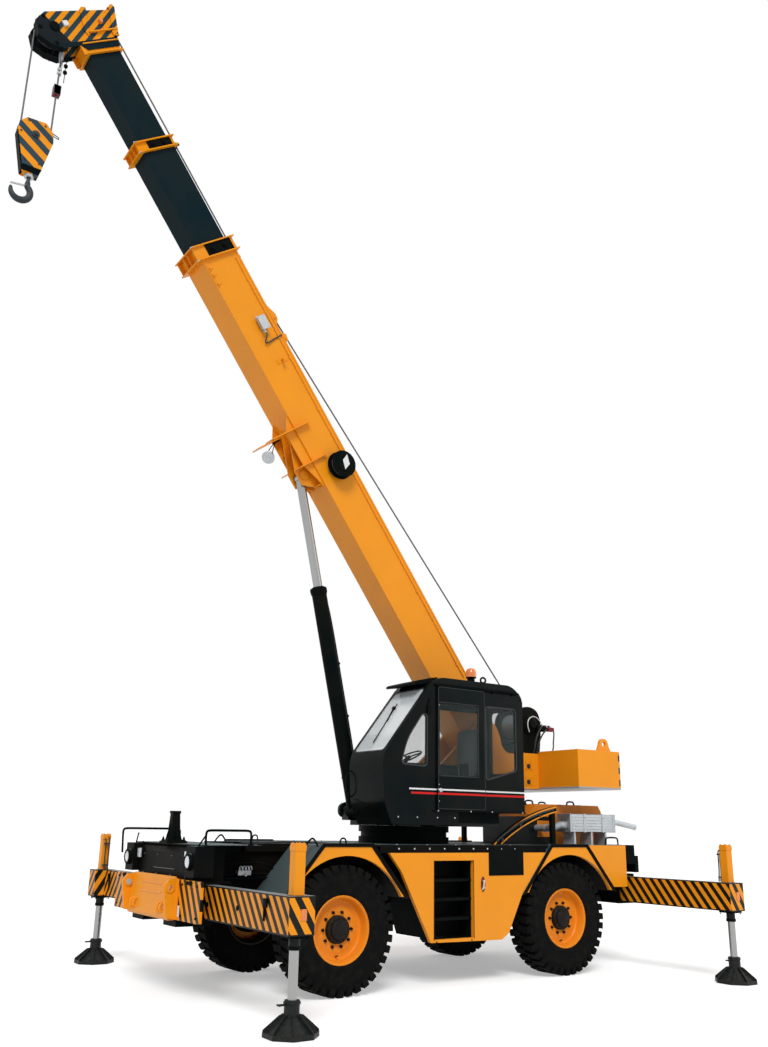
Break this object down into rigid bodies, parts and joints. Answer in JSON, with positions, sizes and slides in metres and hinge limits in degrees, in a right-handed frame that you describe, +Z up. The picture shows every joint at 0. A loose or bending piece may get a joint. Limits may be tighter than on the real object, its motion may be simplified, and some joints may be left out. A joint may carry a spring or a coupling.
{
  "type": "mobile crane",
  "caption": "Two-axle rough-terrain mobile crane with a telescopic boom raised over its front, a side cab, hoist block, and outriggers set down.",
  "frame": {"origin": "on the ground under the middle of the crane's whole box, its wheels and pads at z = 0", "axes": "+X to the crane's rear, +Y to the side away from the cab, +Z up"},
  "size_m": [9.605, 5.8376, 12.339],
  "materials": {
    "crane_yellow": "gloss",
    "black_paint": "satin",
    "cab_black": "gloss",
    "boom_black": "satin",
    "deck_grey": "satin",
    "chassis_grey": "satin",
    "galvanised": "galvanised",
    "chrome_rod": "polished",
    "tyre_rubber": "moulded",
    "cast_steel": "cast",
    "wire_rope": "stranded",
    "window_glass": "clear",
    "seat_fabric": "woven"
  },
  "bodies": {
    "carrier": {"chassis_frame": "chassis_grey", "outrigger_boxes": "crane_yellow", "front_bumper": "crane_yellow", "front_cowl": "black_paint", "side_panels": "crane_yellow", "wheel_housings": "black_paint", "deck": "deck_grey", "side_tanks": "black_paint", "engine_hood": "crane_yellow", "engine": "cast_steel", "exhaust": "galvanised", "hood_guards": "black_paint", "boom_rest": "black_paint", "grab_rails": "black_paint", "rear_bumper": "black_paint", "axles": "chassis_grey", "slewing_ring": "black_paint"},
    "superstructure": {"turntable": "black_paint", "counterweight": "crane_yellow", "winch": "black_paint", "cab_body": "cab_black", "cab_roof": "cab_black", "cab_glass": "window_glass", "cab_seat": "seat_fabric"},
    "cab_door": {"cab_door": "cab_black"},
    "boom_base": {"boom_base": "crane_yellow", "boom_fittings": "black_paint"},
    "boom_mid": {"boom_mid": "boom_black"},
    "boom_tip": {"boom_tip": "boom_black", "head_sheave": "cast_steel"},
    "lift_barrel": {"lift_barrel": "black_paint"},
    "lift_rod": {"lift_rod": "chrome_rod"},
    "hook_block": {"hook_block": "crane_yellow", "hoist_falls": "wire_rope"},
    "hook": {"hook": "cast_steel"},
    "outrigger_fl": {"outrigger_beam_fl": "crane_yellow"},
    "jack_fl": {"jack_fl": "crane_yellow"},
    "knuckle_fl": {"knuckle_fl": "chassis_grey"},
    "wheel_fl": {"rim_fl": "crane_yellow", "tyre_fl": "tyre_rubber"},
    "outrigger_fr": {"outrigger_beam_fr": "crane_yellow"},
    "jack_fr": {"jack_fr": "crane_yellow"},
    "knuckle_fr": {"knuckle_fr": "chassis_grey"},
    "wheel_fr": {"rim_fr": "crane_yellow", "tyre_fr": "tyre_rubber"},
    "outrigger_rl": {"outrigger_beam_rl": "crane_yellow"},
    "jack_rl": {"jack_rl": "crane_yellow"},
    "knuckle_rl": {"knuckle_rl": "chassis_grey"},
    "wheel_rl": {"rim_rl": "crane_yellow", "tyre_rl": "tyre_rubber"},
    "outrigger_rr": {"outrigger_beam_rr": "crane_yellow"},
    "jack_rr": {"jack_rr": "crane_yellow"},
    "knuckle_rr": {"knuckle_rr": "chassis_grey"},
    "wheel_rr": {"rim_rr": "crane_yellow", "tyre_rr": "tyre_rubber"}
  },
  "joints": [
    {"name": "steer_fl", "type": "hinge", "parent": "carrier", "child": "knuckle_fl", "pos_m": [-0.493, -0.905, 0.685], "axis": [0, 0, 1], "range_deg": [-25, 25]},
    {"name": "wheel_fl_spin", "type": "hinge", "parent": "knuckle_fl", "child": "wheel_fl", "pos_m": [-0.493, -1.074, 0.685], "axis": [0, 1, 0], "continuous": true},
    {"name": "beam_fl_slide", "type": "slide", "parent": "carrier", "child": "outrigger_fl", "axis": [0, 1, 0], "range_m": [0, 1.55]},
    {"name": "jack_fl_lift", "type": "slide", "parent": "outrigger_fl", "child": "jack_fl", "axis": [0, 0, 1], "range_m": [0, 0.4]},
    {"name": "steer_fr", "type": "hinge", "parent": "carrier", "child": "knuckle_fr", "pos_m": [-0.493, 0.905, 0.685], "axis": [0, 0, 1], "range_deg": [-25, 25]},
    {"name": "wheel_fr_spin", "type": "hinge", "parent": "knuckle_fr", "child": "wheel_fr", "pos_m": [-0.493, 1.074, 0.685], "axis": [0, 1, 0], "continuous": true},
    {"name": "beam_fr_slide", "type": "slide", "parent": "carrier", "child": "outrigger_fr", "axis": [0, -1, 0], "range_m": [0, 1.55]},
    {"name": "jack_fr_lift", "type": "slide", "parent": "outrigger_fr", "child": "jack_fr", "axis": [0, 0, 1], "range_m": [0, 0.4]},
    {"name": "steer_rl", "type": "hinge", "parent": "carrier", "child": "knuckle_rl", "pos_m": [2.919, -0.905, 0.685], "axis": [0, 0, 1], "range_deg": [-25, 25]},
    {"name": "wheel_rl_spin", "type": "hinge", "parent": "knuckle_rl", "child": "wheel_rl", "pos_m": [2.919, -1.074, 0.685], "axis": [0, 1, 0], "continuous": true},
    {"name": "beam_rl_slide", "type": "slide", "parent": "carrier", "child": "outrigger_rl", "axis": [0, 1, 0], "range_m": [0, 1.55]},
    {"name": "jack_rl_lift", "type": "slide", "parent": "outrigger_rl", "child": "jack_rl", "axis": [0, 0, 1], "range_m": [0, 0.4]},
    {"name": "steer_rr", "type": "hinge", "parent": "carrier", "child": "knuckle_rr", "pos_m": [2.919, 0.905, 0.685], "axis": [0, 0, 1], "range_deg": [-25, 25]},
    {"name": "wheel_rr_spin", "type": "hinge", "parent": "knuckle_rr", "child": "wheel_rr", "pos_m": [2.919, 1.074, 0.685], "axis": [0, 1, 0], "continuous": true},
    {"name": "beam_rr_slide", "type": "slide", "parent": "carrier", "child": "outrigger_rr", "axis": [0, -1, 0], "range_m": [0, 1.55]},
    {"name": "jack_rr_lift", "type": "slide", "parent": "outrigger_rr", "child": "jack_rr", "axis": [0, 0, 1], "range_m": [0, 0.4]},
    {"name": "slew", "type": "hinge", "parent": "carrier", "child": "superstructure", "pos_m": [1.213, 0, 1.8], "axis": [0, 0, 1], "continuous": true},
    {"name": "door_slide", "type": "slide", "parent": "superstructure", "child": "cab_door", "axis": [1, 0, 0], "range_m": [0, 0.6]},
    {"name": "boom_lift", "type": "hinge", "parent": "superstructure", "child": "boom_base", "pos_m": [2.437, 0, 2.99], "axis": [0, 1, 0], "range_deg": [-22, 16]},
    {"name": "telescope_mid", "type": "slide", "parent": "boom_base", "child": "boom_mid", "axis": [-0.593, 0, 0.8052], "range_m": [-1.25, 4.2]},
    {"name": "telescope_tip", "type": "slide", "parent": "boom_mid", "child": "boom_tip", "axis": [-0.593, 0, 0.8052], "range_m": [-1.25, 4.2]},
    {"name": "barrel_tilt", "type": "hinge", "parent": "superstructure", "child": "lift_barrel", "pos_m": [0.437, 0, 1.985], "axis": [0, 1, 0], "range_deg": [-20, 15]},
    {"name": "rod_slide", "type": "slide", "parent": "lift_barrel", "child": "lift_rod", "axis": [-0.23, 0, 0.9732], "range_m": [-1, 0.72]},
    {"name": "falls_plumb", "type": "hinge", "parent": "boom_tip", "child": "hook_block", "pos_m": [-4.56017, 0, 11.59738], "axis": [0, 1, 0], "range_deg": [-22, 22]},
    {"name": "hook_swivel", "type": "hinge", "parent": "hook_block", "child": "hook", "pos_m": [-4.57717, 0, 9.52738], "axis": [0, 0, 1], "continuous": true}
  ],
  "couplings": [
    {"joint": "steer_fr", "follows": "steer_fl", "ratio": 1},
    {"joint": "steer_rr", "follows": "steer_rl", "ratio": 1},
    {"joint": "telescope_tip", "follows": "telescope_mid", "ratio": 1},
    {"joint": "barrel_tilt", "follows": "boom_lift", "ratio": 0.88},
    {"joint": "rod_slide", "follows": "boom_lift", "m_per_rad": 2.4207},
    {"joint": "falls_plumb", "follows": "boom_lift", "ratio": -1}
  ]
}
